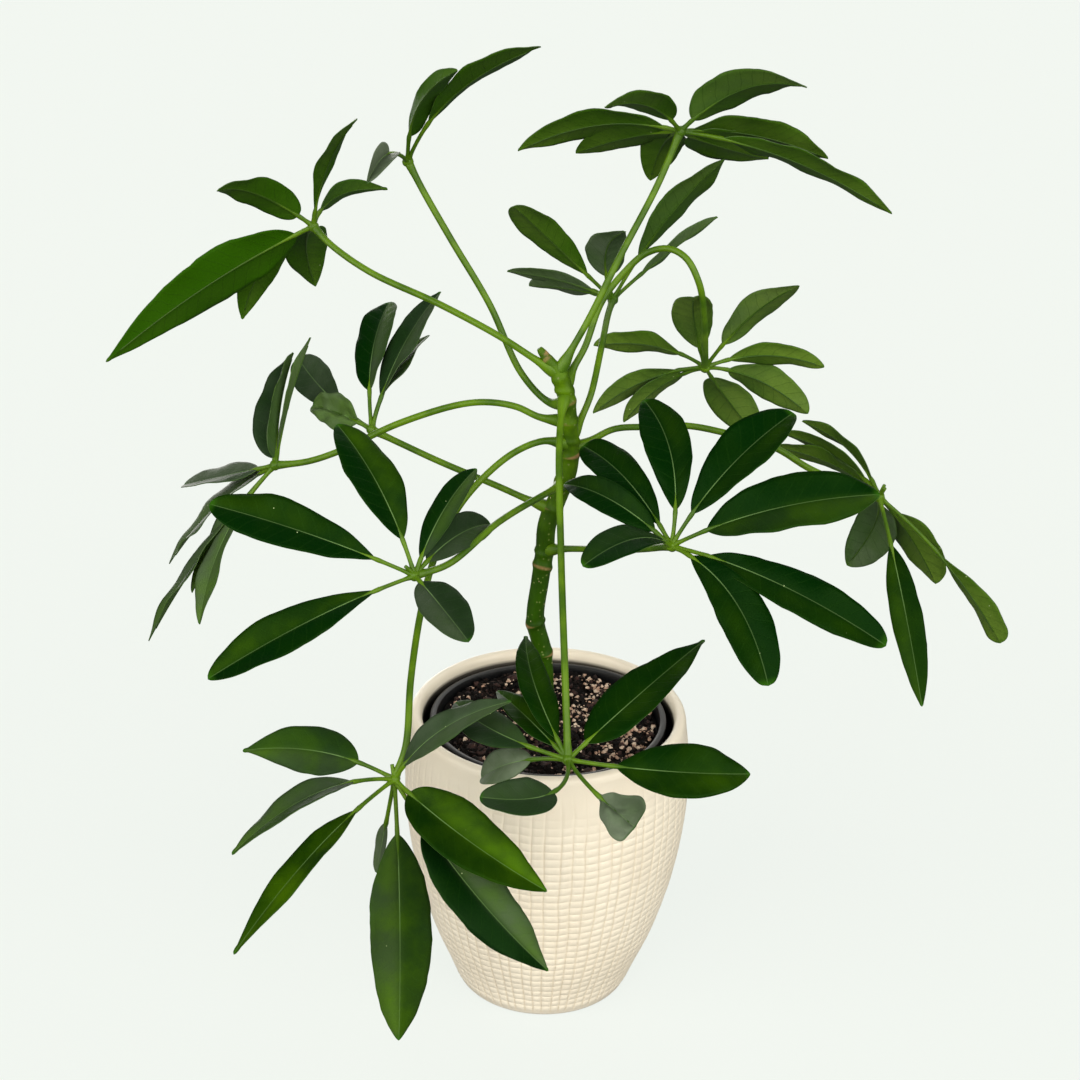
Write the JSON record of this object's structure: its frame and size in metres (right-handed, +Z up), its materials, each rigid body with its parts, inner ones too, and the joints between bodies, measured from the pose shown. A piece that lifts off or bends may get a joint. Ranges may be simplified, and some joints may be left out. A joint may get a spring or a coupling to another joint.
{
  "type": "potted umbrella plant",
  "caption": "Small potted umbrella plant: a green trunk with glossy compound leaves stands in a nursery pot inside a cream ceramic cover pot with a woven relief.",
  "frame": {"origin": "centre of the cover pot's flat underside, on the surface it stands on", "axes": "+Z up along the pot's axis, -Y towards the viewer of the picture, +X to the viewer's right"},
  "size_m": [0.4748, 0.3608, 0.5099],
  "materials": {
    "pot_glaze": "satin cream glaze over a shallow woven relief",
    "nursery_plastic": "thin black polypropylene",
    "potting_mix": "dark damp peat and bark with pale pumice grains",
    "green_bark": "green young bark with tan leaf scars",
    "leaf": "leathery leaf, glossy dark green above and matte mid green below"
  },
  "bodies": {
    "root": {"ceramic_pot": "pot_glaze", "nursery_pot": "nursery_plastic", "potting_mix": "potting_mix", "trunk": "green_bark", "leaf_top_left": "leaf", "leaf_top_centre": "leaf", "leaf_top_right": "leaf", "leaf_back_middle": "leaf", "leaf_back_right": "leaf", "leaf_far_right": "leaf", "leaf_front_right": "leaf", "leaf_upper_left": "leaf", "leaf_far_left": "leaf", "leaf_front_left": "leaf", "leaf_lower_left": "leaf", "leaf_front_centre": "leaf"}
  },
  "joints": []
}
